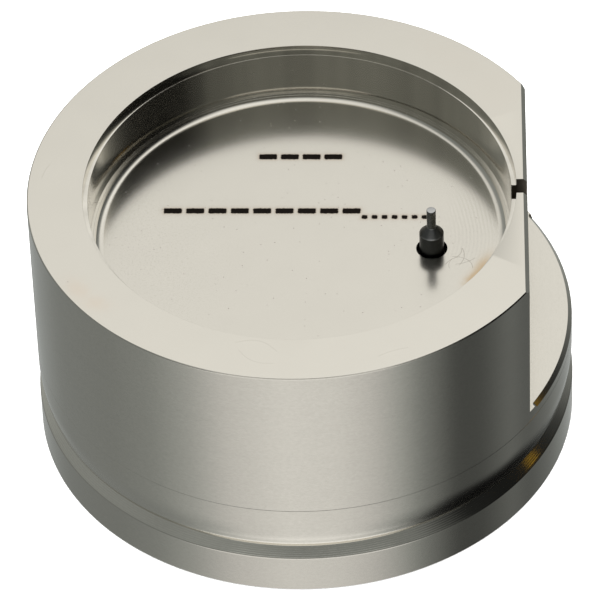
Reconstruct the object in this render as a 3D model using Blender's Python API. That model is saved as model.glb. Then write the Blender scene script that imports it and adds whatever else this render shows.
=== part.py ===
"""Watch movement holder: a turned steel cup on a turned base, with a stem-release pin.

Origin: centre of the underside. +Z is up, and +X points at the flat on the stem's side.
"""

import math

import bmesh
import bpy

MM = 0.001

# Whole holder
RADIUS = 16.5 * MM
HEIGHT = 17.7 * MM
SEAM_Z = 6.70 * MM
SEAM_GAP = 0.06 * MM
LARGE_SEGMENTS = 96
SMALL_SEGMENTS = 32

# Recess for the movement, with depths from the top face
SEAT_RADIUS = 13.1 * MM
SEAT_DEPTH = 0.5 * MM
BORE_RADIUS = 12.8 * MM
LEDGE_DEPTH = 3.65 * MM
LEDGE_INNER_RADIUS = 12.44 * MM
FLOOR_DEPTH = 3.83 * MM
FLOOR_FILLET = 0.6 * MM
RIM_CHAMFER = 0.12 * MM

# Flat, shelf and slot on the stem's side
FLAT_X = 13.75 * MM
FLAT_CHAMFER = 0.25 * MM
SHELF_Z = 7.5 * MM
SHELF_CHAMFER = 0.25 * MM
SHELF_CHAMFER_HALF_ANGLE = math.radians(30.5)
SLOT_WIDTH = 1.22 * MM
SLOT_DEPTH = 2.3 * MM

# Base: foot ring, catch groove above it, and the rounded lip over the groove
FOOT_CHAMFER = 0.18 * MM
FOOT_TOP_Z = 2.65 * MM
FOOT_EDGE = 0.11 * MM
LIP_Z = 4.05 * MM
LIP_RADIUS = 1.1 * MM

# Stem-release pin and the screw that carries it
PIN_X = 7.94 * MM
PIN_Y = -1.3 * MM
PIN_RADIUS = 0.74 * MM
PIN_BODY_HEIGHT = 1.31 * MM
PIN_CONE_HEIGHT = 1.77 * MM
PIN_TIP_HEIGHT = 3.15 * MM
PIN_TIP_RADIUS = 0.28 * MM
PIN_TIP_BREAK = 0.04 * MM
PIN_HOLE_RADIUS = 0.78 * MM
PIN_MOUTH_RADIUS = 0.95 * MM
PIN_MOUTH_DEPTH = 0.6 * MM
FLANGE_RADIUS = 1.6 * MM
FLANGE_Z = 4.35 * MM
FLANGE_THICKNESS = 0.8 * MM
FLANGE_BORE_RADIUS = 1.66 * MM
FLANGE_BORE_TOP = 5.7 * MM
GRUB_RADIUS = 2.0 * MM
GRUB_LENGTH = 3.5 * MM
GRUB_TOP = 4.3 * MM
GRUB_CHAMFER = 0.25 * MM
GRUB_HEX_RADIUS = 1.15 * MM
GRUB_HEX_DEPTH = 1.8 * MM
GRUB_HOLE_RADIUS = 2.05 * MM
GRUB_HOLE_TOP = 4.8 * MM

# Cap screws that hold the cup on the base
SCREW_COUNT = 3
SCREW_CIRCLE = 9.5 * MM
SCREW_FIRST_ANGLE = math.radians(60)
SCREW_RADIUS = 1.5 * MM
SCREW_HEAD_RADIUS = 2.75 * MM
SCREW_HEAD_HEIGHT = 3.0 * MM
SCREW_HEAD_Z = 0.35 * MM
SCREW_CHAMFER = 0.25 * MM
SCREW_LENGTH = 8.0 * MM
SCREW_HEX_RADIUS = 1.44 * MM
SCREW_HEX_DEPTH = 1.5 * MM
SCREW_CLEAR_RADIUS = 1.7 * MM
SCREW_TAPPED_RADIUS = 1.56 * MM
SCREW_TAPPED_TOP = 12.0 * MM
COUNTERBORE_RADIUS = 3.0 * MM
COUNTERBORE_TOP = 3.4 * MM

# Dowel pins that keep cup and base in line
DOWEL_ANGLES = (math.radians(122), math.radians(242))
DOWEL_CIRCLE = 9.5 * MM
DOWEL_RADIUS = 1.0 * MM
DOWEL_CHAMFER = 0.15 * MM
DOWEL_BOTTOM = 3.7 * MM
DOWEL_TOP = 9.7 * MM
DOWEL_HOLE_RADIUS = 1.04 * MM
DOWEL_HOLE_END_GAP = 0.1 * MM

CUT_MARGIN = 1.0 * MM
SMOOTH_ANGLE = math.radians(30)


def clear_scene():
    for old in list(bpy.data.objects):
        bpy.data.objects.remove(old, do_unlink=True)


def make_material(name, colour, roughness, metallic=1.0):
    material = bpy.data.materials.new(name)
    material.use_nodes = True
    shader = material.node_tree.nodes["Principled BSDF"]
    shader.inputs["Base Color"].default_value = (*colour, 1.0)
    shader.inputs["Roughness"].default_value = roughness
    shader.inputs["Metallic"].default_value = metallic
    return material


def add_object(name, bm, place=(0.0, 0.0, 0.0), material=None):
    bmesh.ops.recalc_face_normals(bm, faces=bm.faces)
    mesh = bpy.data.meshes.new(name)
    bm.to_mesh(mesh)
    bm.free()
    mesh.shade_smooth()
    mesh.set_sharp_from_angle(angle=SMOOTH_ANGLE)
    obj = bpy.data.objects.new(name, mesh)
    obj.location = place
    if material:
        mesh.materials.append(material)
    bpy.context.scene.collection.objects.link(obj)
    return obj


def arc(centre_r, centre_z, radius, start, end, steps):
    """Points on a round stretch of a turned outline, as (r, z), with angles in degrees."""
    points = []
    for i in range(steps + 1):
        angle = math.radians(start + (end - start) * i / steps)
        points.append((centre_r + radius * math.cos(angle), centre_z + radius * math.sin(angle)))
    return points


def turned(outline, segments):
    """A closed solid turned about Z from an outline of (r, z) that starts and ends on the axis."""
    bm = bmesh.new()
    rings = []
    for r, z in outline:
        if r == 0.0:
            rings.append([bm.verts.new((0.0, 0.0, z))])
            continue
        ring = []
        for i in range(segments):
            angle = 2 * math.pi * i / segments
            ring.append(bm.verts.new((r * math.cos(angle), r * math.sin(angle), z)))
        rings.append(ring)
    for low, high in zip(rings, rings[1:]):
        for i in range(segments):
            j = (i + 1) % segments
            corners = [low[i % len(low)], low[j % len(low)], high[j % len(high)], high[i % len(high)]]
            bm.faces.new(list(dict.fromkeys(corners)))
    return bm


def part_turned(outline, half_angle, steps):
    """A closed wedge of a ring: the (r, z) outline swept about Z through twice half_angle."""
    bm = bmesh.new()
    rings = []
    for i in range(steps + 1):
        angle = half_angle * (2 * i / steps - 1)
        rings.append([bm.verts.new((r * math.cos(angle), r * math.sin(angle), z)) for r, z in outline])
    for near, far in zip(rings, rings[1:]):
        for i in range(len(outline)):
            j = (i + 1) % len(outline)
            bm.faces.new((near[i], near[j], far[j], far[i]))
    bm.faces.new(rings[0])
    bm.faces.new(rings[-1])
    return bm


def cylinder(radius, low, high, segments):
    return turned([(0.0, low), (radius, low), (radius, high), (0.0, high)], segments)


def prism_along_y(outline, half_width):
    """A closed prism: an (x, z) outline extruded through Y."""
    bm = bmesh.new()
    sides = [[bm.verts.new((x, y, z)) for x, z in outline] for y in (-half_width, half_width)]
    for i in range(len(outline)):
        j = (i + 1) % len(outline)
        bm.faces.new((sides[0][i], sides[0][j], sides[1][j], sides[1][i]))
    bm.faces.new(sides[0])
    bm.faces.new(sides[1])
    return bm


def cut(target, name, bm, place=(0.0, 0.0, 0.0)):
    """Takes a cutter away from a piece, and keeps the cutter as a hidden wire object."""
    cutter = add_object("cut_" + name, bm, place)
    cutter.hide_render = True
    cutter.display_type = "WIRE"
    modifier = target.modifiers.new(name, "BOOLEAN")
    modifier.operation = "DIFFERENCE"
    modifier.solver = "EXACT"
    modifier.object = cutter


def on_circle(radius, angle):
    return (radius * math.cos(angle), radius * math.sin(angle), 0.0)


def screw_places():
    turn = 2 * math.pi / SCREW_COUNT
    return [on_circle(SCREW_CIRCLE, SCREW_FIRST_ANGLE + turn * i) for i in range(SCREW_COUNT)]


def dowel_places():
    return [on_circle(DOWEL_CIRCLE, angle) for angle in DOWEL_ANGLES]


def build_movement_cup(steel):
    floor_z = HEIGHT - FLOOR_DEPTH
    ledge_z = HEIGHT - LEDGE_DEPTH
    seat_z = HEIGHT - SEAT_DEPTH
    low = SEAM_Z + SEAM_GAP / 2
    outline = [(0.0, low), (RADIUS, low), (RADIUS, HEIGHT - RIM_CHAMFER), (RADIUS - RIM_CHAMFER, HEIGHT)]
    outline += [(SEAT_RADIUS, HEIGHT), (SEAT_RADIUS, seat_z), (BORE_RADIUS, seat_z)]
    outline += [(BORE_RADIUS, ledge_z)]
    # The floor's fillet comes up to the ledge, where it ends in an edge.
    fillet_angle = math.acos(1 - (ledge_z - floor_z) / FLOOR_FILLET)
    fillet_r = LEDGE_INNER_RADIUS - FLOOR_FILLET * math.sin(fillet_angle)
    start = math.degrees(fillet_angle) - 90
    outline += arc(fillet_r, floor_z + FLOOR_FILLET, FLOOR_FILLET, start, -90, 4)
    outline += [(0.0, floor_z)]
    cup = add_object("movement_cup", turned(outline, LARGE_SEGMENTS), material=steel)

    # The flat and shelf are one cut, with a chamfer along the flat's top edge.
    top = HEIGHT + CUT_MARGIN
    far = RADIUS + CUT_MARGIN
    chamfer_z = HEIGHT - FLAT_CHAMFER
    flat = [(FLAT_X, SHELF_Z), (far, SHELF_Z), (far, top), (FLAT_X - (top - chamfer_z), top)]
    flat += [(FLAT_X, chamfer_z)]
    cut(cup, "flat_and_shelf", prism_along_y(flat, far))

    over = SHELF_CHAMFER * 2
    edge = [(RADIUS - over, SHELF_Z - SHELF_CHAMFER + over), (RADIUS + over, SHELF_Z - SHELF_CHAMFER - over)]
    edge += [(RADIUS + over, SHELF_Z - SHELF_CHAMFER + over)]
    cut(cup, "shelf_chamfer", part_turned(edge, SHELF_CHAMFER_HALF_ANGLE, 16))

    slot_start = BORE_RADIUS - CUT_MARGIN
    slot_z = HEIGHT - SLOT_DEPTH
    slot = [(slot_start, slot_z), (far, slot_z), (far, top), (slot_start, top)]
    cut(cup, "stem_slot", prism_along_y(slot, SLOT_WIDTH / 2))

    mouth_z = floor_z - PIN_MOUTH_DEPTH
    hole = [(0.0, 0.0), (PIN_HOLE_RADIUS, 0.0), (PIN_HOLE_RADIUS, mouth_z), (PIN_MOUTH_RADIUS, mouth_z)]
    hole += [(PIN_MOUTH_RADIUS, HEIGHT), (0.0, HEIGHT)]
    cut(cup, "pin_hole", turned(hole, SMALL_SEGMENTS), (PIN_X, PIN_Y, 0.0))

    for i, place in enumerate(screw_places(), 1):
        tapped = cylinder(SCREW_TAPPED_RADIUS, 0.0, SCREW_TAPPED_TOP, SMALL_SEGMENTS)
        cut(cup, f"tapped_hole_{i}", tapped, place)
    for i, place in enumerate(dowel_places(), 1):
        dowel_hole = cylinder(DOWEL_HOLE_RADIUS, 0.0, DOWEL_TOP + DOWEL_HOLE_END_GAP, SMALL_SEGMENTS)
        cut(cup, f"cup_dowel_hole_{i}", dowel_hole, place)


def groove_outline():
    """The catch groove: a 45 degree flank up from the foot ring, then the rounded lip."""
    flank_r = RADIUS - FOOT_EDGE
    flank_z = FOOT_TOP_Z + FOOT_EDGE
    lip_r = RADIUS - LIP_RADIUS
    # The flank r + z = flank_r + flank_z meets the lip where sin(a) - cos(a) = rise.
    rise = (lip_r + LIP_Z - flank_r - flank_z) / LIP_RADIUS
    meeting = 45 + math.degrees(math.asin(rise / math.sqrt(2)))
    return [(flank_r, flank_z)] + arc(lip_r, LIP_Z, LIP_RADIUS, -meeting, 0, 6)


def build_base(steel):
    high = SEAM_Z - SEAM_GAP / 2
    outline = [(0.0, 0.0), (RADIUS - FOOT_CHAMFER, 0.0), (RADIUS, FOOT_CHAMFER), (RADIUS, FOOT_TOP_Z)]
    outline += groove_outline()
    outline += [(RADIUS, high), (0.0, high)]
    base = add_object("base", turned(outline, LARGE_SEGMENTS), material=steel)

    bore = [(0.0, -CUT_MARGIN), (GRUB_HOLE_RADIUS, -CUT_MARGIN), (GRUB_HOLE_RADIUS, GRUB_HOLE_TOP)]
    bore += [(FLANGE_BORE_RADIUS, GRUB_HOLE_TOP), (FLANGE_BORE_RADIUS, FLANGE_BORE_TOP)]
    bore += [(PIN_HOLE_RADIUS, FLANGE_BORE_TOP), (PIN_HOLE_RADIUS, HEIGHT), (0.0, HEIGHT)]
    cut(base, "pin_bore", turned(bore, SMALL_SEGMENTS), (PIN_X, PIN_Y, 0.0))

    for i, place in enumerate(screw_places(), 1):
        hole = [(0.0, -CUT_MARGIN), (COUNTERBORE_RADIUS, -CUT_MARGIN), (COUNTERBORE_RADIUS, COUNTERBORE_TOP)]
        hole += [(SCREW_CLEAR_RADIUS, COUNTERBORE_TOP), (SCREW_CLEAR_RADIUS, HEIGHT), (0.0, HEIGHT)]
        cut(base, f"screw_hole_{i}", turned(hole, SMALL_SEGMENTS), place)
    for i, place in enumerate(dowel_places(), 1):
        dowel_hole = cylinder(DOWEL_HOLE_RADIUS, DOWEL_BOTTOM - DOWEL_HOLE_END_GAP, HEIGHT, SMALL_SEGMENTS)
        cut(base, f"base_dowel_hole_{i}", dowel_hole, place)


def build_stem_release_pin(steel):
    floor_z = HEIGHT - FLOOR_DEPTH
    tip_z = floor_z + PIN_TIP_HEIGHT
    flange_top = FLANGE_Z + FLANGE_THICKNESS
    outline = [(0.0, FLANGE_Z), (FLANGE_RADIUS, FLANGE_Z), (FLANGE_RADIUS, flange_top)]
    outline += [(PIN_RADIUS, flange_top), (PIN_RADIUS, floor_z + PIN_BODY_HEIGHT)]
    outline += [(PIN_TIP_RADIUS, floor_z + PIN_CONE_HEIGHT), (PIN_TIP_RADIUS, tip_z - PIN_TIP_BREAK)]
    outline += [(PIN_TIP_RADIUS - PIN_TIP_BREAK, tip_z), (0.0, tip_z)]
    add_object("stem_release_pin", turned(outline, SMALL_SEGMENTS), (PIN_X, PIN_Y, 0.0), steel)


def build_pin_height_screw(steel):
    low = GRUB_TOP - GRUB_LENGTH
    inner = GRUB_RADIUS - GRUB_CHAMFER
    outline = [(0.0, low), (inner, low), (GRUB_RADIUS, low + GRUB_CHAMFER)]
    outline += [(GRUB_RADIUS, GRUB_TOP - GRUB_CHAMFER), (inner, GRUB_TOP), (0.0, GRUB_TOP)]
    screw = add_object("pin_height_screw", turned(outline, SMALL_SEGMENTS), (PIN_X, PIN_Y, 0.0), steel)
    socket = cylinder(GRUB_HEX_RADIUS, low - CUT_MARGIN, low + GRUB_HEX_DEPTH, 6)
    cut(screw, "height_screw_socket", socket, (PIN_X, PIN_Y, 0.0))


def build_cup_screw(number, place, steel):
    seat = SCREW_HEAD_Z + SCREW_HEAD_HEIGHT
    end = seat + SCREW_LENGTH
    outline = [(0.0, SCREW_HEAD_Z), (SCREW_HEAD_RADIUS - SCREW_CHAMFER, SCREW_HEAD_Z)]
    outline += [(SCREW_HEAD_RADIUS, SCREW_HEAD_Z + SCREW_CHAMFER), (SCREW_HEAD_RADIUS, seat)]
    outline += [(SCREW_RADIUS, seat), (SCREW_RADIUS, end - SCREW_CHAMFER)]
    outline += [(SCREW_RADIUS - SCREW_CHAMFER, end), (0.0, end)]
    screw = add_object(f"cup_screw_{number}", turned(outline, SMALL_SEGMENTS), place, steel)
    socket = cylinder(SCREW_HEX_RADIUS, -CUT_MARGIN, SCREW_HEAD_Z + SCREW_HEX_DEPTH, 6)
    cut(screw, f"cup_screw_socket_{number}", socket, place)


def build_dowel_pin(number, place, steel):
    inner = DOWEL_RADIUS - DOWEL_CHAMFER
    outline = [(0.0, DOWEL_BOTTOM), (inner, DOWEL_BOTTOM), (DOWEL_RADIUS, DOWEL_BOTTOM + DOWEL_CHAMFER)]
    outline += [(DOWEL_RADIUS, DOWEL_TOP - DOWEL_CHAMFER), (inner, DOWEL_TOP), (0.0, DOWEL_TOP)]
    add_object(f"dowel_pin_{number}", turned(outline, SMALL_SEGMENTS), place, steel)


def main():
    clear_scene()
    turned_steel = make_material("turned_steel", (0.62, 0.61, 0.57), 0.28)
    blackened_steel = make_material("blackened_steel", (0.055, 0.058, 0.062), 0.38)
    screw_steel = make_material("screw_steel", (0.30, 0.30, 0.31), 0.35)
    build_movement_cup(turned_steel)
    build_base(turned_steel)
    build_stem_release_pin(blackened_steel)
    build_pin_height_screw(screw_steel)
    for number, place in enumerate(screw_places(), 1):
        build_cup_screw(number, place, screw_steel)
    for number, place in enumerate(dowel_places(), 1):
        build_dowel_pin(number, place, screw_steel)


main()
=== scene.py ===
import math

import bmesh
import bpy
from mathutils import Matrix, Vector


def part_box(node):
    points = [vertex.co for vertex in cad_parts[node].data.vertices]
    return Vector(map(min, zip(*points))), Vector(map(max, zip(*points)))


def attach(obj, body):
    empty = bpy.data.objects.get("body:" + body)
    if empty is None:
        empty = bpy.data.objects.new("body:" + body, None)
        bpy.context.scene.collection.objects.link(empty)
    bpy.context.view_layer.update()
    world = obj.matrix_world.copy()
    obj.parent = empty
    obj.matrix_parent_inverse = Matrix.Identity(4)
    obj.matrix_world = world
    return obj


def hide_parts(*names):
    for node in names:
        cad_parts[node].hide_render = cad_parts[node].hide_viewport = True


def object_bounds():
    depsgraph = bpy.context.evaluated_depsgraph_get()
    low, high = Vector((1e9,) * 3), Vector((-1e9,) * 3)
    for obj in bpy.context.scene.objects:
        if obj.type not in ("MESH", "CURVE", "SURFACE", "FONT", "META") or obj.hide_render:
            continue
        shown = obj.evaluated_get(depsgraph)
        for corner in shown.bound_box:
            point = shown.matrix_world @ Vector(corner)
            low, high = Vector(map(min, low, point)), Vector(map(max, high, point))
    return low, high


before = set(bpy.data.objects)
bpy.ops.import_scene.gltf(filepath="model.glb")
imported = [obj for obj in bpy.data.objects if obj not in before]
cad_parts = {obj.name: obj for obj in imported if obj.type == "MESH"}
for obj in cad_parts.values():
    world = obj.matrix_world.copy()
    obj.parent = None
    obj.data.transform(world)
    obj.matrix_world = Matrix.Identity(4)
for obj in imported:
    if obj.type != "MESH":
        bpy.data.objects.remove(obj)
cadLow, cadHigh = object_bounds()

mm = 0.001  # outlines and settings are in millimetres, meshes in metres

holder = {
    "radius": cadHigh[0] / mm,
    "height": cadHigh[2] / mm,
    "wallRadius": cadHigh[0] / mm - 0.04,   # the foot ring stands out this much
    "seam": 6.70,
    "roundSteps": 384,
    "smoothBelow": 20,  # degrees between faces that still shade as one surface
}
print("frame loaded,", len(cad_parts), "nodes")


def arcPoints(centreR, centreZ, radius, start, end, steps):
    # points on a round stretch of a turned outline, with angles in degrees
    points = []
    for i in range(steps + 1):
        angle = math.radians(start + (end - start) * i / steps)
        points.append((centreR + radius * math.cos(angle), centreZ + radius * math.sin(angle)))
    return points


def brokenEdge(corner, size, start, end):
    # a quarter-round edge break; start and end are the directions its ends face, in degrees
    middle = math.radians((start + end) / 2)
    reach = size * math.sqrt(2)
    centre = (corner[0] - reach * math.cos(middle), corner[1] - reach * math.sin(middle))
    return arcPoints(centre[0], centre[1], size, start, end, 4)


def turned(outline, steps, centre=(0.0, 0.0)):
    # solid turned about the vertical through centre; the outline starts and ends on the axis
    bm = bmesh.new()
    rings = []
    for r, z in outline:
        count = steps if r else 1
        ring = []
        for i in range(count):
            angle = 2 * math.pi * i / count
            spot = (centre[0] + r * math.cos(angle), centre[1] + r * math.sin(angle), z)
            ring.append(bm.verts.new(Vector(spot) * mm))
        rings.append(ring)
    for low, high in zip(rings, rings[1:]):
        for i in range(steps):
            j = (i + 1) % steps
            corners = [low[i % len(low)], low[j % len(low)], high[j % len(high)], high[i % len(high)]]
            bm.faces.new(list(dict.fromkeys(corners)))
    return bm


def prism(outline, place):
    # closed prism between two copies of an outline; place turns (u, v, end) into (x, y, z)
    bm = bmesh.new()
    sides = [[bm.verts.new(Vector(place(u, v, end)) * mm) for u, v in outline] for end in (-1, 1)]
    for i in range(len(outline)):
        j = (i + 1) % len(outline)
        bm.faces.new((sides[0][i], sides[0][j], sides[1][j], sides[1][i]))
    bm.faces.new(sides[0])
    bm.faces.new(sides[1])
    return bm


def ringWedge(outline, halfAngle, steps):
    # part of a turned ring, centred on +X
    bm = bmesh.new()
    rings = []
    for i in range(steps + 1):
        angle = math.radians(halfAngle) * (2 * i / steps - 1)
        ring = [Vector((r * math.cos(angle), r * math.sin(angle), z)) * mm for r, z in outline]
        rings.append([bm.verts.new(spot) for spot in ring])
    for near, far in zip(rings, rings[1:]):
        for i in range(len(outline)):
            j = (i + 1) % len(outline)
            bm.faces.new((near[i], near[j], far[j], far[i]))
    bm.faces.new(rings[0])
    bm.faces.new(rings[-1])
    return bm


def drill(radius, low, high, centre, steps=96):
    return turned([(0.0, low), (radius, low), (radius, high), (0.0, high)], steps, centre)


def makePiece(name, bm, material, cutters=()):
    bmesh.ops.recalc_face_normals(bm, faces=bm.faces)
    mesh = bpy.data.meshes.new(name)
    bm.to_mesh(mesh)
    bm.free()
    piece = bpy.data.objects.new(name, mesh)
    bpy.context.scene.collection.objects.link(piece)
    if cutters:
        cutAway(piece, cutters)
    piece.data.materials.clear()
    piece.data.materials.append(material)
    piece.data.shade_smooth()
    piece.data.set_sharp_from_angle(angle=math.radians(holder["smoothBelow"]))
    # large faces keep their own facing, small edge breaks blend into them
    weighted = piece.modifiers.new("weighted", "WEIGHTED_NORMAL")
    weighted.keep_sharp = True
    return piece


def cutAway(piece, cutters):
    tools = []
    for i, bm in enumerate(cutters):
        tool = makePiece(f"cutter{i}", bm, None)
        tool.modifiers.clear()
        cut = piece.modifiers.new(f"cut{i}", "BOOLEAN")
        cut.operation = "DIFFERENCE"
        cut.solver = "EXACT"
        cut.object = tool
        tools.append(tool)
    bpy.context.view_layer.update()
    graph = bpy.context.evaluated_depsgraph_get()
    shaped = bpy.data.meshes.new_from_object(piece.evaluated_get(graph))
    piece.modifiers.clear()
    piece.data = shaped
    for tool in tools:
        bpy.data.objects.remove(tool, do_unlink=True)


class Value:
    # a socket that can be written in sums
    def __init__(self, graph, socket):
        self.graph = graph
        self.socket = socket

    def maths(self, operation, *others):
        values = dict(enumerate((self, *others)))
        return self.graph.node("ShaderNodeMath", {"operation": operation}, values)

    def swapped(self, operation, other):
        return self.graph.node("ShaderNodeMath", {"operation": operation}, {0: other, 1: self})

    def __add__(self, other):
        return self.maths("ADD", other)

    __radd__ = __add__

    def __sub__(self, other):
        return self.maths("SUBTRACT", other)

    def __rsub__(self, other):
        return self.swapped("SUBTRACT", other)

    def __mul__(self, other):
        return self.maths("MULTIPLY", other)

    __rmul__ = __mul__

    def __truediv__(self, other):
        return self.maths("DIVIDE", other)

    def __pow__(self, other):
        return self.maths("POWER", other)

    def __rpow__(self, other):
        return self.swapped("POWER", other)

    def __neg__(self):
        return self * -1.0

    def __abs__(self):
        return self.maths("ABSOLUTE")

    def __gt__(self, other):
        return self.maths("GREATER_THAN", other)

    def __lt__(self, other):
        return self.maths("LESS_THAN", other)

    def rise(self, low, high):
        # 0 below low, 1 above high, smooth between
        settings = {"interpolation_type": "SMOOTHSTEP"}
        return self.graph.node("ShaderNodeMapRange", settings, {0: self, 1: low, 2: high})

    def output(self, index):
        return Value(self.graph, self.socket.node.outputs[index])


class Graph:
    def __init__(self, tree):
        self.tree = tree
        tree.nodes.clear()

    def node(self, kind, settings=None, inputs=None):
        made = self.tree.nodes.new(kind)
        for name, value in (settings or {}).items():
            if name == "stops":
                self.setStops(made.color_ramp, value)
            else:
                setattr(made, name, value)
        for name, value in (inputs or {}).items():
            if isinstance(value, Value):
                self.tree.links.new(value.socket, made.inputs[name])
            else:
                made.inputs[name].default_value = value
        return Value(self, made.outputs[0]) if made.outputs else None

    def setStops(self, ramp, stops):
        while len(ramp.elements) < len(stops):
            ramp.elements.new(1.0)
        for element, (position, level) in zip(ramp.elements, stops):
            element.position = position
            element.color = (level, level, level, 1.0)

    def mix(self, factor, first, second, blend="MIX"):
        settings = {"data_type": "RGBA", "blend_type": blend}
        return self.node("ShaderNodeMix", settings, {0: factor, 6: first, 7: second}).output(2)

    def vector(self, x, y, z):
        return self.node("ShaderNodeCombineXYZ", {}, {0: x, 1: y, 2: z})

    def noise(self, vector, detail=2.0, roughness=0.5):
        inputs = {"Vector": vector, "Scale": 1.0, "Detail": detail, "Roughness": roughness}
        return self.node("ShaderNodeTexNoise", {}, inputs)

    def spotInMm(self):
        spot = self.node("ShaderNodeTexCoord").output(3)
        axes = self.node("ShaderNodeSeparateXYZ", {}, {0: spot})
        return [axes.output(i) * (1 / mm) for i in range(3)]

    def finish(self, surface):
        shader = self.node("ShaderNodeBsdfPrincipled", {}, surface)
        self.node("ShaderNodeOutputMaterial", {}, {"Surface": shader})


def newMaterial(name):
    material = bpy.data.materials.new(name)
    material.use_nodes = True
    return material, Graph(material.node_tree)


def shaded(g, colour, level):
    # the colour made lighter or darker by a value over the surface
    return g.mix(1.0, colour, g.vector(level, level, level), "MULTIPLY")


def bumped(g, height, strength, depth):
    return g.node("ShaderNodeBump", {}, {"Strength": strength, "Distance": depth * mm, "Height": height})


def strongest(values):
    most = values[0]
    for value in values[1:]:
        most = most.maths("MAXIMUM", value)
    return most


def specks(g, x, y, z, perMm, size, share):
    # tiny dark pits: one cell in a few has one
    spot = g.vector(x * perMm, y * perMm, z * perMm)
    cells = g.node("ShaderNodeTexVoronoi", {}, {"Vector": spot, "Scale": 1.0})
    lucky = g.node("ShaderNodeSeparateColor", {}, {0: cells.output(1)})
    return (1 - cells.rise(size * perMm * 0.5, size * perMm)) * (lucky > 1 - share)


def alongAndAcross(x, y, origin, lean):
    # x and y measured from origin, along a direction that leans by some degrees and across it
    c, s = math.cos(math.radians(lean)), math.sin(math.radians(lean))
    along = (x - origin[0]) * c + (y - origin[1]) * s
    across = (y - origin[1]) * c - (x - origin[0]) * s
    return along, across


def blotch(x, y, centre, reach, lean=0.0):
    # soft-edged patch, with its reach along the lean and across it
    along, across = alongAndAcross(x, y, centre, lean)
    along, across = along / reach[0], across / reach[1]
    return math.e ** -(along * along + across * across)


def scratch(x, y, start, length, lean, bow, width):
    # thin bowed line
    along, across = alongAndAcross(x, y, start, lean)
    path = (along * (math.pi / length)).maths("SINE") * bow
    inside = (along > 0) * (along < length)
    return inside * (1 - abs(across - path).rise(width * 0.3, width))


laserMarks = {
    "lean": -1.1,            # the rows run a little off the flat's normal
    "rows": [
        # left end, height of the row's middle, mark length, mark height, pitch, count
        (-2.79, 7.08, 1.10, 0.46, 1.34, 4),
        (-8.44, 2.17, 1.10, 0.46, 1.364, 9),
        (3.65, 1.63, 0.35, 0.34, 0.61, 7),
    ],
    "corner": 0.10,
    "waver": 0.10,           # how far the burnt edge wanders
    "haloReach": 0.11,
    "haloShare": 0.40,
    "black": (0.014, 0.011, 0.009, 1.0),
    "halo": (0.30, 0.19, 0.10, 1.0),
}


def markDistance(x, y):
    # distance in mm to the nearest laser mark, below zero inside it
    look = laserMarks
    along, across = alongAndAcross(x, y, (0.0, 0.0), look["lean"])
    nearest = None
    for left, middle, length, height, pitch, count in look["rows"]:
        step = ((along - left - length / 2) / pitch).maths("ROUND")
        step = step.maths("MAXIMUM", 0.0).maths("MINIMUM", count - 1)
        beside = abs(along - left - length / 2 - step * pitch) - (length / 2 - look["corner"])
        above = abs(across - middle) - (height / 2 - look["corner"])
        outside = beside.maths("MAXIMUM", 0.0) ** 2 + above.maths("MAXIMUM", 0.0) ** 2
        within = beside.maths("MAXIMUM", above).maths("MINIMUM", 0.0)
        distance = outside ** 0.5 + within - look["corner"]
        nearest = nearest.maths("MINIMUM", distance) if nearest else distance
    return nearest


def burnMarks(g, x, y, where, colour):
    look = laserMarks
    waver = (g.noise(g.vector(x * 7, y * 7, 0.0), 2.0) - 0.5) * look["waver"]
    reach = markDistance(x, y) + waver
    burnt = (1 - reach.rise(-0.03, 0.035)) * where
    halo = (math.e ** -(reach.maths("MAXIMUM", 0.0) / look["haloReach"])) * where
    colour = g.mix(halo * look["haloShare"], colour, look["halo"])
    return g.mix(burnt, colour, look["black"]), burnt


turnedSteel = {
    "colour": (0.640, 0.612, 0.545, 1.0),
    "grainAlong": 4.0,       # noise steps per mm along and across the tool marks
    "grainAcross": 9.0,
    "bandAlong": 0.24,
    "bandAcross": 1.4,
    "grainColour": 0.095,
    "bandColour": 0.4,       # share of the bands beside the fine marks
    "grainRough": 0.06,
    "bump": 0.35,
    "bumpHeight": 0.0010,
}


def grain(g, x, y, across):
    # tool marks: long along the cut, fine across it, with slower bands among them
    look = turnedSteel
    along = look["grainAlong"]
    fine = g.noise(g.vector(x * along, y * along, across * look["grainAcross"]), 3.0, 0.6)
    along = look["bandAlong"]
    bands = g.noise(g.vector(x * along, y * along, across * look["bandAcross"]), 2.0)
    return fine, bands


def blendSteel(g, fine, bands, strength):
    # tool marks lighten and darken the metal a little
    marks = (fine - 0.5) * 2 + (bands - 0.5) * turnedSteel["bandColour"]
    return shaded(g, turnedSteel["colour"], 1 + marks * turnedSteel["grainColour"] * strength)


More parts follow.
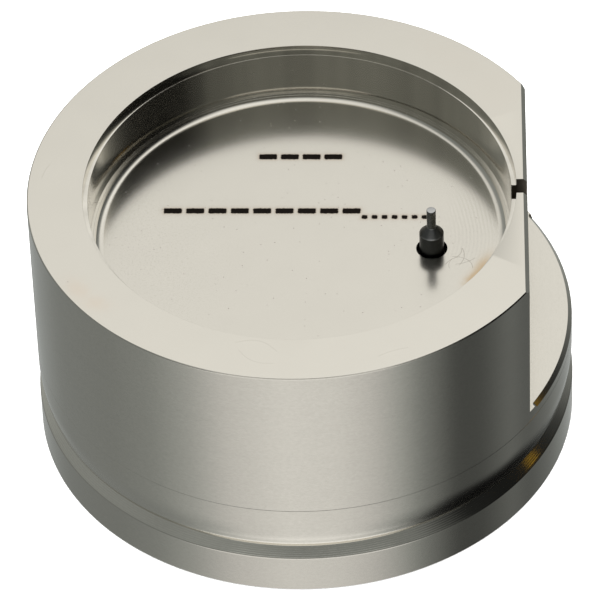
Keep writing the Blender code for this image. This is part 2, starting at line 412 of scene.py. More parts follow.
cupLook = {
    "rough": {"top": 0.12, "floor": 0.20, "bore": 0.10, "wall": 0.18, "milled": 0.20,
              "burnt": 0.35, "pits": 0.2, "slot": 0.25, "hole": 0.3},
    "roughCloud": 0.04,
    "grain": {"wall": 1.0, "top": 0.08, "floor": 0.16, "bore": 0.10, "milled": 0.5},
    "cloud": {"top": 0.05, "floor": 0.06},
    "boreWash": 0.35,
    "ragged": 0.9,           # how far a stain's edge wanders, in mm
    # centre, reach and lean of each stain
    "topStains": [((-13.02, -8.64), (0.62, 1.05), 35), ((-11.97, -9.78), (0.85, 0.60), -25)],
    "topStain": (0.66, 0.52, 0.40, 1.0),
    "topStainShare": 0.26,
    "warmPatches": [((12.1, 8.6), (3.4, 2.2), 40), ((9.0, 12.2), (3.0, 1.4), -40)],
    "warmShare": 0.04,
    "floorStains": [((11.0, -3.0), (0.42, 1.1), -22), ((10.35, -4.05), (0.36, 0.7), -35)],
    "floorStain": (0.50, 0.36, 0.20, 1.0),
    "floorStainShare": 0.75,
    # where, cells per mm, size in mm and share of cells that hold a pit
    "pits": [("top", 1.1, 0.045, 0.10), ("floor", 2.6, 0.045, 0.30), ("wall", 0.7, 0.05, 0.06)],
    "pit": (0.16, 0.13, 0.10, 1.0),
    "pitShare": 0.50,
    # the speckle is densest beside the pin and along the left of the floor
    "pepperPatches": [((9.2, -0.6), (3.2, 3.4)), ((-9.0, -1.5), (3.5, 8.0))],
    "pepperShare": 0.17,
    "ringPitch": 0.23,
    "ringPatch": ((10.6, 1.2), (1.6, 3.6), -8),
    "ringShare": 0.08,
    "scuff": (0.22, 0.19, 0.16, 1.0),
    "scuffShare": 0.45,
    "scuffDepth": 0.5,
    "hairlineShare": 0.16,
    "burntDepth": 1.2,
    # painted shade: the pin's hole and its mouth are coloured near black
    "hole": (0.030, 0.027, 0.024, 1.0),
    # painted shade: the slot's walls and floor are coloured dark brown, unevenly
    "slot": (0.085, 0.068, 0.048, 1.0),
}


def cupRegions(x, y, z, r):
    # 1 on each of the cup's surfaces and 0 elsewhere; small margins keep a surface's edge in it
    top = z > holder["height"] - 0.01
    milled = (x > cup["flatX"] - 0.02) * (z > cup["shelfZ"] - 0.02) * (1 - top)
    inside = (r < cup["seatRadius"] + 0.02) * (1 - top) * (1 - milled)
    floor = inside * (z < cup["ledgeZ"] + 0.005)
    slot = (x > cup["boreRadius"] - 0.3) * (x < cup["flatX"] - 0.01)
    slot = slot * (abs(y) < cup["slotWidth"] / 2 + 0.01)
    slot = slot * (z < holder["height"] - 0.05) * (z > holder["height"] - cup["slotDepth"] - 0.02)
    awayX, awayY = x - pin["x"], y - pin["y"]
    hole = ((awayX * awayX + awayY * awayY) ** 0.5 < cup["pinMouth"] + 0.01) * (z < cup["floorZ"] - 0.02)
    return {
        "top": top,
        "milled": milled,
        "floor": floor,
        "bore": inside * (1 - floor),
        "wall": (1 - top) * (1 - milled) * (1 - inside),
        "slot": slot,
        "hole": hole,
    }


def overRegions(on, levels):
    # each named region at its own level
    return sum(on[region] * level for region, level in levels.items())


def cupWear(g, x, y, z, r, on, patches, colour):
    look = cupLook
    ragged = (g.noise(g.vector(x * 2.2, y * 2.2, 0.0), 3.0) - 0.5) * look["ragged"]
    stain = strongest([blotch(x + ragged, y, *patch) for patch in look["topStains"]])
    colour = g.mix(on["top"] * stain * look["topStainShare"], colour, look["topStain"])
    warm = sum(blotch(x, y, *patch) for patch in look["warmPatches"])
    colour = g.mix(on["top"] * warm * look["warmShare"], colour, look["topStain"])

    on["pits"] = sum(specks(g, x, y, z, *sizes) * on[region] for region, *sizes in look["pits"])
    colour = g.mix(on["pits"] * look["pitShare"], colour, look["pit"])
    pepper = g.noise(g.vector(x * 9, y * 9, 0.0), 2.0, 0.7).rise(0.54, 0.70) * on["floor"]
    dense = sum(blotch(x, y, *patch) for patch in look["pepperPatches"]).maths("MINIMUM", 1.0)
    colour = g.mix(pepper * (0.25 + dense * 0.75) * look["pepperShare"], colour, look["pit"])
    rings = (r * (2 * math.pi / look["ringPitch"]) + patches * 9).maths("SINE") * 0.5 + 0.5
    rings = rings * on["floor"] * blotch(x, y, *look["ringPatch"])
    colour = g.mix(rings * look["ringShare"], colour, look["pit"])

    stain = sum(blotch(x + ragged * 0.35, y, *patch) for patch in look["floorStains"]).maths("MINIMUM", 1.0)
    colour = g.mix(on["floor"] * stain * look["floorStainShare"], colour, look["floorStain"])
    on["scuffs"] = on["floor"] * strongest([scratch(x, y, *line) for line in cup["scratches"]])
    colour = g.mix(on["scuffs"] * look["scuffShare"], colour, look["scuff"])
    hairs = on["top"] * strongest([scratch(x, y, *line) for line in cup["hairlines"]])
    return g.mix(hairs * look["hairlineShare"], colour, look["scuff"])


def cupSteel():
    material, g = newMaterial("turnedSteelCup")
    look = cupLook
    x, y, z = g.spotInMm()
    r = (x * x + y * y) ** 0.5
    on = cupRegions(x, y, z, r)

    turnedAcross = r - z
    milledAcross = x - z
    fine, bands = grain(g, x, y, turnedAcross + on["milled"] * (milledAcross - turnedAcross))
    strength = overRegions(on, look["grain"])
    colour = blendSteel(g, fine, bands, strength)
    patches = g.noise(g.vector(x * 0.35, y * 0.35, z * 0.35), 3.0)
    colour = shaded(g, colour, 1 + overRegions(on, look["cloud"]) * (patches - 0.5))
    streaks = g.noise(g.vector(x * 0.9, y * 0.9, 0.0), 2.0)
    colour = shaded(g, colour, 1 + on["bore"] * (streaks - 0.5) * look["boreWash"])

    colour = cupWear(g, x, y, z, r, on, patches, colour)
    # painted shade: the slot is coloured dark brown, unevenly
    colour = g.mix(on["slot"] * (0.65 + patches * 0.5).maths("MINIMUM", 1.0), colour, look["slot"])
    # painted shade: the pin's hole is coloured near black
    colour = g.mix(on["hole"], colour, look["hole"])
    colour, on["burnt"] = burnMarks(g, x, y, on["floor"], colour)

    rough = overRegions(on, look["rough"]) + (patches - 0.5) * look["roughCloud"]
    rough = rough + (fine - 0.5) * turnedSteel["grainRough"] * strength
    height = fine * strength - on["pits"]
    height = height - on["burnt"] * look["burntDepth"] - on["scuffs"] * look["scuffDepth"]
    bump = bumped(g, height, turnedSteel["bump"], turnedSteel["bumpHeight"])
    g.finish({"Base Color": colour, "Metallic": 1.0, "Roughness": rough, "Normal": bump})
    return material


baseLook = {
    "rough": {"wall": 0.18, "flank": 0.12, "under": 0.30},
    "roughCloud": 0.06,
    "grain": {"wall": 0.9, "foot": 0.8, "under": 0.6},
    # painted highlight: the groove's flank colour is made 30 % lighter
    "flankPaintedLight": 0.30,
    "footShade": 0.93,       # painted shade: the foot ring's colour is made a little darker
    "feed": 0.13,            # mm between the tool marks on the groove's flank
    "feedShare": 0.12,
    "feedDepth": 9,
    "valley": (0.42, 0.40, 0.36, 1.0),
    "pitShare": 0.5,
}


def baseSteel():
    material, g = newMaterial("turnedSteelBase")
    look = baseLook
    x, y, z = g.spotInMm()
    r = (x * x + y * y) ** 0.5
    under = z < 0.02
    flank = (z > base["footTop"] + 0.05) * (z < base["lipZ"] - 0.55)
    foot = (1 - under) * (z < base["footTop"] + 0.05)
    fine, bands = grain(g, x, y, r - z * 0.83)
    strength = under * look["grain"]["under"] + foot * look["grain"]["foot"]
    strength = strength + (1 - under) * (1 - foot) * look["grain"]["wall"]
    colour = blendSteel(g, fine, bands, strength)
    # painted shade darkens the foot ring; painted highlight lightens the groove's flank
    colour = shaded(g, colour, 1 - foot * (1 - look["footShade"]) + flank * look["flankPaintedLight"])
    feed = (((r - z) * (math.pi * math.sqrt(2) / look["feed"])).maths("SINE") * 0.5 + 0.5) * flank
    colour = g.mix(feed * look["feedShare"], colour, look["valley"])
    pits = specks(g, x, y, z, 0.9, 0.06, 0.07) + specks(g, x, y, z, 0.8, 0.10, 0.22) * foot
    colour = g.mix(pits * look["pitShare"], colour, cupLook["pit"])
    patches = g.noise(g.vector(x * 0.3, y * 0.3, z * 0.3), 3.0)
    wallRough = look["rough"]["wall"]
    rough = wallRough + under * (look["rough"]["under"] - wallRough)
    rough = rough + flank * (look["rough"]["flank"] - wallRough)
    rough = rough + (fine - 0.5) * turnedSteel["grainRough"] * strength
    rough = rough + (patches - 0.5) * look["roughCloud"]
    height = fine * strength + feed * look["feedDepth"] - pits
    bump = bumped(g, height, turnedSteel["bump"], turnedSteel["bumpHeight"])
    g.finish({"Base Color": colour, "Metallic": 1.0, "Roughness": rough, "Normal": bump})
    return material


pinLook = {
    "black": (0.105, 0.106, 0.104, 1.0),
    "rubbed": (0.155, 0.155, 0.150, 1.0),
    "ground": (0.27, 0.27, 0.265, 1.0),
    "bright": (0.46, 0.46, 0.45, 1.0),
    "rough": 0.34,
    "bump": 0.3,
    "bumpHeight": 0.0010,
}


def pinSteel():
    material, g = newMaterial("blackenedSteelPin")
    x, y, z = g.spotInMm()
    dx, dy = x - pin["x"], y - pin["y"]
    r = (dx * dx + dy * dy) ** 0.5
    lines = g.noise(g.vector(dx * 1.5, dy * 1.5, (z - r) * 12), 3.0, 0.6)
    worn = g.noise(g.vector(dx * 3, dy * 3, z * 3), 3.0)
    cone = (z > pin["bodyTop"] - 0.03) * (z < pin["coneTop"] + 0.03)
    shank = z > pin["coneTop"]
    end = z > pin["tipTop"] - 0.02
    edge = (1 - abs(z - pin["bodyTop"]).rise(0.0, 0.07)) * worn.rise(0.35, 0.65)
    colour = g.mix(cone * 0.55, pinLook["black"], pinLook["rubbed"])
    colour = g.mix(shank * 0.85, colour, pinLook["ground"])
    colour = g.mix(end * 0.85, colour, pinLook["bright"])
    colour = g.mix(edge * 0.7, colour, pinLook["bright"])
    colour = shaded(g, colour, 1 + (lines - 0.5) * 0.3 + (worn - 0.5) * 0.4)
    rough = pinLook["rough"] + (lines - 0.5) * 0.2 - end * 0.1 - shank * 0.06
    bump = bumped(g, lines, pinLook["bump"], pinLook["bumpHeight"])
    g.finish({"Base Color": colour, "Metallic": 1.0, "Roughness": rough, "Normal": bump})
    return material


screwLook = {
    "oxide": (0.085, 0.083, 0.082, 1.0),
    "rubbed": (0.34, 0.33, 0.32, 1.0),
    "rough": 0.36,
    "bump": 0.5,
    "bumpHeight": 0.0015,
}


def screwSteel(name, centre):
    material, g = newMaterial(name)
    x, y, z = g.spotInMm()
    dx, dy = x - centre[0], y - centre[1]
    r = (dx * dx + dy * dy) ** 0.5
    turning = g.noise(g.vector(dx * 0.5, dy * 0.5, (r - z) * 10), 3.0, 0.6)
    worn = g.noise(g.vector(x * 1.6, y * 1.6, z * 1.6), 4.0)
    colour = g.mix(worn.rise(0.50, 0.72) * 0.6, screwLook["oxide"], screwLook["rubbed"])
    colour = shaded(g, colour, 1 + (turning - 0.5) * 0.4)
    rough = screwLook["rough"] + (turning - 0.5) * 0.2 + (worn - 0.5) * 0.2
    bump = bumped(g, turning, screwLook["bump"], screwLook["bumpHeight"])
    g.finish({"Base Color": colour, "Metallic": 1.0, "Roughness": rough, "Normal": bump})
    return material


screwNames = [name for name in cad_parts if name.startswith("cup_screw")]
dowelNames = [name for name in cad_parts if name.startswith("dowel_pin")]


def middleOf(node):
    low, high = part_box(node)
    return ((low[0] + high[0]) / 2 / mm, (low[1] + high[1]) / 2 / mm)


cup = {
    "seatRadius": 13.1,
    "seatDepth": 0.5,
    "boreRadius": 12.8,
    "ledgeZ": holder["height"] - 3.65,
    "ledgeInner": 12.44,
    "ledgeMiddle": 12.62,    # a small step half-way across the ledge
    "ledgeRoot": 0.007,
    "floorZ": holder["height"] - 3.83,
    "fillet": 0.72,
    "rim": 0.12,
    "edge": 0.012,
    "flatX": 13.75,
    "flatChamfer": 0.25,
    "shelfZ": 7.5,
    "shelfChamfer": 0.25,
    "shelfHalfAngle": 30.5,
    "slotWidth": 1.22,
    "slotDepth": 2.3,
    "seamGap": 0.006,
    "seamEdge": 0.014,
    "pinHole": 0.78,
    "pinMouth": 0.95,
    "pinMouthDepth": 0.6,
    "tappedRadius": 1.56,
    "tappedTop": 12.0,
    "dowelRadius": 1.04,
    "dowelTop": 9.8,
    # start, length, lean in degrees, bow and width
    "scratches": [
        ((8.75, -2.75), 1.1, 38, 0.12, 0.035),
        ((9.30, -2.20), 1.0, 62, -0.14, 0.035),
        ((9.15, -2.05), 1.2, -22, 0.12, 0.030),
        ((9.80, -1.35), 1.5, -98, 0.20, 0.035),
        ((9.35, -2.75), 1.3, 24, -0.10, 0.030),
        ((10.00, -2.30), 0.9, -64, 0.12, 0.030),
        ((9.00, -3.10), 0.8, 80, 0.10, 0.025),
    ],
    "hairlines": [
        ((-3.60, -13.30), 2.6, -18, 0.55, 0.030),
        ((-3.40, -13.90), 2.4, -30, -0.40, 0.025),
        ((4.80, -14.60), 1.9, 22, 0.10, 0.025),
        ((-15.60, 1.20), 1.4, 70, 0.08, 0.025),
    ],
}


def cupOutline():
    radius, height, edge = holder["wallRadius"], holder["height"], cup["edge"]
    low = holder["seam"] + cup["seamGap"] / 2
    seatZ = height - cup["seatDepth"]
    outline = [(0.0, low), (radius - cup["seamEdge"], low), (radius, low + cup["seamEdge"])]
    outline += arcPoints(radius - cup["rim"], height - cup["rim"], cup["rim"], 0, 90, 4)
    outline += brokenEdge((cup["seatRadius"], height), edge, 90, 180)
    outline += [(cup["seatRadius"], seatZ)]
    outline += brokenEdge((cup["boreRadius"], seatZ), edge, 90, 180)
    root = cup["ledgeRoot"]
    outline += arcPoints(cup["boreRadius"] - root, cup["ledgeZ"] + root, root, 0, -90, 5)
    outline += [(cup["ledgeMiddle"] + root, cup["ledgeZ"])]
    outline += arcPoints(cup["ledgeMiddle"] + root, cup["ledgeZ"] - root, root, 90, 180, 4)
    outline += arcPoints(cup["ledgeMiddle"] - root, cup["ledgeZ"] - root, root, 0, -90, 4)[1:]
    outline += [(cup["ledgeInner"] + root, cup["ledgeZ"] - 2 * root)]
    turn = math.acos(1 - (cup["ledgeZ"] - 2 * root - cup["floorZ"]) / cup["fillet"])
    centreR = cup["ledgeInner"] - cup["fillet"] * math.sin(turn)
    start = math.degrees(turn) - 90
    outline += arcPoints(centreR, cup["floorZ"] + cup["fillet"], cup["fillet"], start, -90, 10)
    outline += [(0.0, cup["floorZ"])]
    return outline


def cupCutters():
    beyond = 1.0
    top = holder["height"] + beyond
    far = holder["radius"] + beyond
    chamferZ = holder["height"] - cup["flatChamfer"]
    flat = [(cup["flatX"], cup["shelfZ"]), (far, cup["shelfZ"]), (far, top)]
    flat += [(cup["flatX"] - (top - chamferZ), top), (cup["flatX"], chamferZ)]
    cutters = [prism(flat, lambda u, v, end: (u, end * far, v))]

    over = cup["shelfChamfer"] * 2
    radius, edgeZ = holder["wallRadius"], cup["shelfZ"] - cup["shelfChamfer"]
    wedge = [(radius - over, edgeZ + over), (radius + over, edgeZ - over), (radius + over, edgeZ + over)]
    cutters.append(ringWedge(wedge, cup["shelfHalfAngle"], 64))
    # the chamfering tool leaves a round end
    cone = [(0.0, edgeZ), (over, edgeZ + over), (0.0, edgeZ + over)]
    for angle in (-cup["shelfHalfAngle"], cup["shelfHalfAngle"]):
        end = (radius * math.cos(math.radians(angle)), radius * math.sin(math.radians(angle)))
        cutters.append(turned(cone, 48, end))

    slotX = cup["boreRadius"] - beyond
    slot = [(slotX, holder["height"] - cup["slotDepth"]), (far, holder["height"] - cup["slotDepth"])]
    slot += [(far, top), (slotX, top)]
    cutters.append(prism(slot, lambda u, v, end: (u, end * cup["slotWidth"] / 2, v)))

    mouthZ = cup["floorZ"] - cup["pinMouthDepth"]
    hole = [(0.0, 0.0), (cup["pinHole"], 0.0), (cup["pinHole"], mouthZ), (cup["pinMouth"], mouthZ)]
    hole += [(cup["pinMouth"], cup["floorZ"] + beyond), (0.0, cup["floorZ"] + beyond)]
    cutters.append(turned(hole, 96, middleOf("stem_release_pin")))
    cutters += [drill(cup["tappedRadius"], 0.0, cup["tappedTop"], middleOf(name)) for name in screwNames]
    cutters += [drill(cup["dowelRadius"], 0.0, cup["dowelTop"], middleOf(name)) for name in dowelNames]
    return cutters


base = {
    "footChamfer": 0.08,
    "footTop": 2.65,
    "footEdge": 0.12,
    "lipZ": 4.05,
    "lipRadius": 1.1,
    "lipIn": 0.15,
    "lipTop": 4.0,
    "lipBlend": 1.5,
    "counterbore": 3.0,
    "counterboreTop": 3.4,
    "clearRadius": 1.7,
    "flangeBore": 1.66,
    "flangeBoreTop": 5.7,
    "grubHole": 2.05,
    "grubHoleTop": 4.8,
    "dowelBottom": 3.6,
}


def baseOutline():
    radius, footRadius, edge = holder["wallRadius"], holder["radius"], base["footEdge"]
    high = holder["seam"] - cup["seamGap"] / 2
    outline = [(0.0, 0.0), (footRadius - base["footChamfer"], 0.0), (footRadius, base["footChamfer"])]
    # the foot ring's top edge is rounded into the 45 degree flank
    outline += arcPoints(footRadius - edge, base["footTop"] - edge * math.tan(math.pi / 8), edge, 0, 45, 5)
    flankR, flankZ = outline.pop()
    lipR = radius - base["lipIn"] - base["lipRadius"]
    # the 45 degree flank meets the rounded lip where the lip's height along it is zero
    rise = (lipR + base["lipZ"] - flankR - flankZ) / base["lipRadius"]
    meeting = 45 + math.degrees(math.asin(rise / math.sqrt(2)))
    outline += [(flankR, flankZ)] + arcPoints(lipR, base["lipZ"], base["lipRadius"], -meeting, -8, 26)
    # the wall turns in slowly above the lip
    for i in range(9):
        share = i / 8
        inward = base["lipIn"] * (1 - share) ** 2
        outline.append((radius - inward, base["lipTop"] + base["lipBlend"] * share))
    outline += [(radius, high - cup["seamEdge"]), (radius - cup["seamEdge"], high), (0.0, high)]
    return outline


def baseCutters():
    below, top = -1.0, holder["height"]
    grub = [(0.0, below), (base["grubHole"], below), (base["grubHole"], base["grubHoleTop"])]
    grub += [(base["flangeBore"], base["grubHoleTop"]), (base["flangeBore"], base["flangeBoreTop"])]
    grub += [(cup["pinHole"], base["flangeBoreTop"]), (cup["pinHole"], top), (0.0, top)]
    cutters = [turned(grub, 96, middleOf("stem_release_pin"))]
    for name in screwNames:
        hole = [(0.0, below), (base["counterbore"] + 1.2, below), (base["counterbore"], 0.2)]
        hole += [(base["counterbore"], base["counterboreTop"])]
        hole += [(base["clearRadius"], base["counterboreTop"])]
        hole += [(base["clearRadius"], top), (0.0, top)]
        cutters.append(turned(hole, 96, middleOf(name)))
    cutters += [drill(cup["dowelRadius"], base["dowelBottom"], top, middleOf(name)) for name in dowelNames]
    return cutters


pin = {
    "x": middleOf("stem_release_pin")[0],
    "y": middleOf("stem_release_pin")[1],
    "radius": 0.74,
    "bodyTop": cup["floorZ"] + 1.31,
    "coneTop": cup["floorZ"] + 1.77,
    "tipTop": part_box("stem_release_pin")[1][2] / mm,
    "tipRadius": 0.28,
    "tipBreak": 0.04,
    "flangeRadius": 1.6,
    "flangeZ": 4.35,
    "flangeThickness": 0.8,
    "edge": 0.03,
}


def pinOutline():
    edge, flangeTop = pin["edge"], pin["flangeZ"] + pin["flangeThickness"]
    outline = [(0.0, pin["flangeZ"])]
    outline += brokenEdge((pin["flangeRadius"], pin["flangeZ"]), edge, -90, 0)
    outline += brokenEdge((pin["flangeRadius"], flangeTop), edge, 0, 90)
    outline += [(pin["radius"], flangeTop), (pin["radius"], pin["bodyTop"] - edge)]
    outline += [(pin["radius"] - edge * 0.5, pin["bodyTop"])]
    tipRadius, tipBreak = pin["tipRadius"], pin["tipBreak"]
    outline += [(tipRadius + 0.05, pin["coneTop"] - 0.04), (tipRadius, pin["coneTop"] + 0.03)]
    outline += [(tipRadius, pin["tipTop"] - tipBreak)]
    outline += arcPoints(tipRadius - tipBreak, pin["tipTop"] - tipBreak, tipBreak, 20, 90, 4)
    outline += [(0.0, pin["tipTop"])]
    return outline


heightScrew = {
    "radius": 2.0,
    "length": 3.5,
    "top": 4.3,
    "chamfer": 0.25,
    "hexRadius": 1.15,
    "hexDepth": 1.8,
    "pitch": 0.7,
    "threadDepth": 0.30,
}


def threadedStretch(radius, depth, pitch, low, high):
    # ridges and roots of a thread, one pair for each pitch
    points = []
    count = int((high - low) / pitch)
    for i in range(count):
        z = low + i * pitch
        points += [(radius - depth, z + pitch * 0.10), (radius, z + pitch * 0.45)]
        points += [(radius, z + pitch * 0.55), (radius - depth, z + pitch * 0.90)]
    return points


def heightScrewOutline():
    look = heightScrew
    low = look["top"] - look["length"]
    inner = look["radius"] - look["chamfer"] - 0.05
    outline = [(0.0, low), (inner, low)]
    outline += threadedStretch(look["radius"], look["threadDepth"], look["pitch"], low, look["top"])
    outline += [(inner, look["top"]), (0.0, look["top"])]
    return outline


def hexSocket(radius, low, high, centre):
    corners = []
    for i in range(6):
        angle = math.radians(60 * i)
        corners.append((centre[0] + radius * math.cos(angle), centre[1] + radius * math.sin(angle)))
    middle, half = (low + high) / 2, (high - low) / 2
    return prism(corners, lambda u, v, end: (u, v, middle + end * half))


capScrew = {
    "headRadius": 2.75,
    "headHeight": 3.0,
    "headZ": 0.35,
    "chamfer": 0.25,
    "radius": 1.5,
    "length": 8.0,
    "pitch": 0.5,
    "threadDepth": 0.22,
    "plain": 2.0,
    "hexRadius": 1.44,
    "hexDepth": 1.5,
}


def capScrewOutline():
    look = capScrew
    seat = look["headZ"] + look["headHeight"]
    end = seat + look["length"]
    outline = [(0.0, look["headZ"]), (look["headRadius"] - look["chamfer"], look["headZ"])]
    outline += brokenEdge((look["headRadius"], look["headZ"]), look["chamfer"], -80, 0)
    outline += brokenEdge((look["headRadius"], seat), 0.06, 0, 90)
    start = seat + look["plain"]
    outline += [(look["radius"], seat), (look["radius"], start)]
    outline += threadedStretch(look["radius"], look["threadDepth"], look["pitch"], start, end)
    outline += [(look["radius"] - look["threadDepth"], end), (0.0, end)]
    return outline


def buildPieces():
    steps = holder["roundSteps"]
    steel = makePiece("cupShell", turned(cupOutline(), steps), cupSteel(), cupCutters())
    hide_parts("movement_cup")
    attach(steel, "holder")
    print("cup made")

    foot = makePiece("baseShell", turned(baseOutline(), steps), baseSteel(), baseCutters())
    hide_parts("base")
    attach(foot, "holder")
    print("base made")

    centre = middleOf("stem_release_pin")
    post = makePiece("releasePin", turned(pinOutline(), 96, centre), pinSteel())
    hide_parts("stem_release_pin")
    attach(post, "release_pin")

    low = heightScrew["top"] - heightScrew["length"]
    socket = hexSocket(heightScrew["hexRadius"], low - 1.0, low + heightScrew["hexDepth"], centre)
    grub = makePiece("heightScrew", turned(heightScrewOutline(), 96, centre),
                     screwSteel("screwSteelHeight", centre), [socket])
    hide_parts("pin_height_screw")
    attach(grub, "height_screw")
    print("pin and height screw made")

    for name in screwNames:
        centre = middleOf(name)
        socket = hexSocket(capScrew["hexRadius"], -1.0, capScrew["headZ"] + capScrew["hexDepth"], centre)
        screw = makePiece(name + "Detailed", turned(capScrewOutline(), 96, centre),
                          screwSteel("screwSteel_" + name, centre), [socket])
        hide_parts(name)
        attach(screw, "holder")
    for name in dowelNames:
        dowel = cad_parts[name]
        dowel.data.materials.clear()
        dowel.data.materials.append(screwSteel("dowelSteel_" + name, middleOf(name)))
    print("screws and dowels made")


# pale floor, soft light from above and behind, darker sides for the metal to mirror
studio = {
    "floorSize": 3.0,
    "floorColour": (0.86, 0.86, 0.86, 1.0),
    "floorGlow": 0.4,
    # what the walls mirror below the horizon, by compass direction in degrees
    "lowRing": [(-180, 0.265), (-158, 0.32), (-140, 0.48), (-122, 0.76), (-98, 0.96), (-76, 0.90),
                (-62, 0.74), (-50, 0.52), (-38, 0.27), (-22, 0.09), (-8, 0.10), (10, 0.20), (22, 0.13),
                (40, 0.20), (62, 0.34), (80, 0.50), (100, 0.48), (118, 0.36), (142, 0.27), (180, 0.265)],
    # what the recess mirrors above the horizon
    "highRing": [(-180, 0.26), (-150, 0.235), (-136, 0.28), (-112, 0.27), (-92, 0.22), (-72, 0.235),
                 (-44, 0.19), (-34, 0.075), (-24, 0.015), (-4, 0.010), (16, 0.018), (26, 0.05), (45, 0.22),
                 (65, 0.42), (115, 0.42), (140, 0.36), (160, 0.27), (180, 0.26)],
    "ringChange": (-0.44, -0.30),  # heights between which the low ring gives way to the high one
    "frontShift": 0.86,      # the low ring reaches up past the horizon in front
    "rightShift": -0.16,     # and ends early on the right
    "softboxLevel": 1.11,
    "softboxHalfWidth": 0.50,
    "softboxSpread": 0.26,   # it looks wider towards the back
    "softboxFront": -0.35,
    "softboxBack": 2.3,
    "softboxEdge": 0.22,
    "softboxFall": 0.35,     # dimmer towards the back
    "softboxLean": 0.3,      # brighter towards the right
    "softboxTint": (1.0, 0.998, 0.985),
    "underLevel": 1.35,      # pale bench right under the holder, as the groove's lip mirrors it
    "glowLevel": 1.35,       # the bench's front edge, a thin line along the rounded edges
    "ember": (0.920, 0.146, 0.363),  # a small brass-coloured thing off to the right
    "emberColour": (0.46, 0.27, 0.02, 1.0),
    "cool": (0.945, 1.0, 0.985, 1.0),
    "white": (1.0, 1.0, 1.0, 1.0),
    "beyondBench": (0.004, 0.004, 0.004, 1.0),
    "lampSize": 1.6,
    "lampHeight": 1.2,
    "lampPower": 34.0,
}


def ringLevel(g, degrees, stops):
    ramp = [((angle + 180) / 360, level) for angle, level in stops]
    return g.node("ShaderNodeValToRGB", {"stops": ramp}, {0: (degrees + 180) / 360})


def grey(level):
    return (level, level, level, 1.0)


def roomRing(g, compass, z):
    # the room round the bench, from below the horizon to above it
    low = ringLevel(g, compass, studio["lowRing"])
    high = ringLevel(g, compass, studio["highRing"])
    front = compass.rise(-135, -118) * (1 - compass.rise(-58, -44))
    right = compass.rise(-40, -22) * (1 - compass.rise(70, 95))
    shift = front * studio["frontShift"] + right * studio["rightShift"]
    ring = g.mix((z - shift).rise(*studio["ringChange"]), low, high)
    return g.mix(1.0, ring, g.mix(ring.rise(0.3, 0.8), studio["cool"], studio["white"]), "MULTIPLY")


def benchPatches(g, compass, x, y, z, ring):
    # what lies on and round the bench, as the groove, its lip and the rounded edges mirror it
    below = z < -0.05
    down = (-z).maths("MAXIMUM", 0.05)
    downX, downY = x / down, y / down
    under = 1 - ((downX * downX / 0.20 + (downY + 0.12) ** 2 / 0.16) ** 0.5).rise(0.55, 1.1)
    ring = g.mix(under * below, ring, grey(studio["underLevel"]))
    dark = (1 - ((downX * downX + downY * downY) ** 0.5).rise(0.74, 0.98)) * below
    dark = dark * compass.rise(-34, -12) * (1 - compass.rise(70, 95))
    ring = g.mix(dark, ring, studio["beyondBench"])
    glow = z.rise(-0.54, -0.46) * (1 - z.rise(-0.26, -0.14)) * (1 - abs(compass + 92).rise(30, 52))
    ring = g.mix(glow, ring, grey(studio["glowLevel"]))
    facing = sum(axis * part for axis, part in zip((x, y, z), studio["ember"]))
    return g.mix(facing.rise(0.9972, 0.9992), ring, studio["emberColour"])


def softbox(g, x, y, z, ring):
    # a lit ceiling panel, laid out on a plane overhead
    up = z.maths("MAXIMUM", 0.05)
    acrossX, acrossY = abs(x / up), y / up
    edge = studio["softboxEdge"]
    halfWidth = acrossY.maths("MAXIMUM", 0.0) * studio["softboxSpread"] + studio["softboxHalfWidth"]
    box = (1 - (acrossX - halfWidth).rise(-edge, edge)) * (z > 0.05)
    box = box * acrossY.rise(studio["softboxFront"] - 0.15, studio["softboxFront"] + 0.15)
    box = box * (1 - acrossY.rise(studio["softboxBack"] - 0.6, studio["softboxBack"] + 0.6))
    level = 1.05 - acrossY.rise(0.9, 1.5) * studio["softboxFall"]
    level = level * (1 + x / up * studio["softboxLean"]) * studio["softboxLevel"]
    return g.mix(box, ring, g.vector(*[level * part for part in studio["softboxTint"]]))


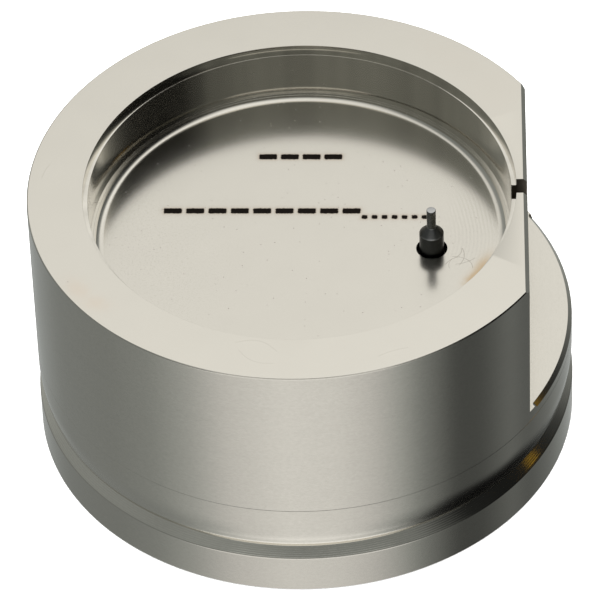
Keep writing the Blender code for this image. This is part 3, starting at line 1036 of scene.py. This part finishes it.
def buildWorld():
    world = bpy.data.worlds.new("studioLight")
    bpy.context.scene.world = world
    world.use_nodes = True
    g = Graph(world.node_tree)
    axes = g.node("ShaderNodeSeparateXYZ", {}, {0: g.node("ShaderNodeTexCoord").output(0)})
    x, y, z = [axes.output(i) for i in range(3)]
    compass = y.maths("ARCTAN2", x) * (180 / math.pi)
    ring = benchPatches(g, compass, x, y, z, roomRing(g, compass, z))
    light = softbox(g, x, y, z, ring)
    shine = g.node("ShaderNodeBackground", {}, {"Color": light, "Strength": 1.0})
    g.node("ShaderNodeOutputWorld", {}, {"Surface": shine})


def buildFloor():
    bm = bmesh.new()
    half = studio["floorSize"] / 2
    corners = [(-half, -half), (half, -half), (half, half), (-half, half)]
    bm.faces.new([bm.verts.new((x, y, cadLow[2])) for x, y in corners])
    material, g = newMaterial("paperFloor")
    g.finish({"Base Color": studio["floorColour"], "Roughness": 0.9, "Specular IOR Level": 0.0,
              "Emission Color": studio["floorColour"], "Emission Strength": studio["floorGlow"]})
    floor = makePiece("floor", bm, material)
    floor.visible_glossy = False


def buildLamp():
    lamp = bpy.data.lights.new("overheadLamp", "AREA")
    lamp.shape = "SQUARE"
    lamp.size = studio["lampSize"]
    lamp.energy = studio["lampPower"]
    lampObject = bpy.data.objects.new("overheadLamp", lamp)
    lampObject.location = (0.0, 0.0, studio["lampHeight"])
    lampObject.visible_glossy = False
    lampObject.visible_camera = False
    bpy.context.scene.collection.objects.link(lampObject)


view = {
    "lens": 361.54,
    "from": (10.19, -267.8, 263.0),
    "to": (-0.21, -0.01, 8.45),
    "roll": -2.24,
}


def buildCamera():
    data = bpy.data.cameras.new("camera")
    data.lens = view["lens"]
    data.sensor_width = 36.0
    data.clip_start = 0.01
    camera = bpy.data.objects.new("camera", data)
    start, target = Vector(view["from"]) * mm, Vector(view["to"]) * mm
    facing = (target - start).to_track_quat("-Z", "Y").to_matrix().to_4x4()
    roll = Matrix.Rotation(math.radians(view["roll"]), 4, "Z")
    camera.matrix_world = Matrix.Translation(start) @ facing @ roll
    bpy.context.scene.collection.objects.link(camera)
    bpy.context.scene.camera = camera


bpy.context.scene.view_settings.view_transform = "Standard"
buildCamera()
buildWorld()
buildFloor()
buildLamp()
print("studio ready")
buildPieces()
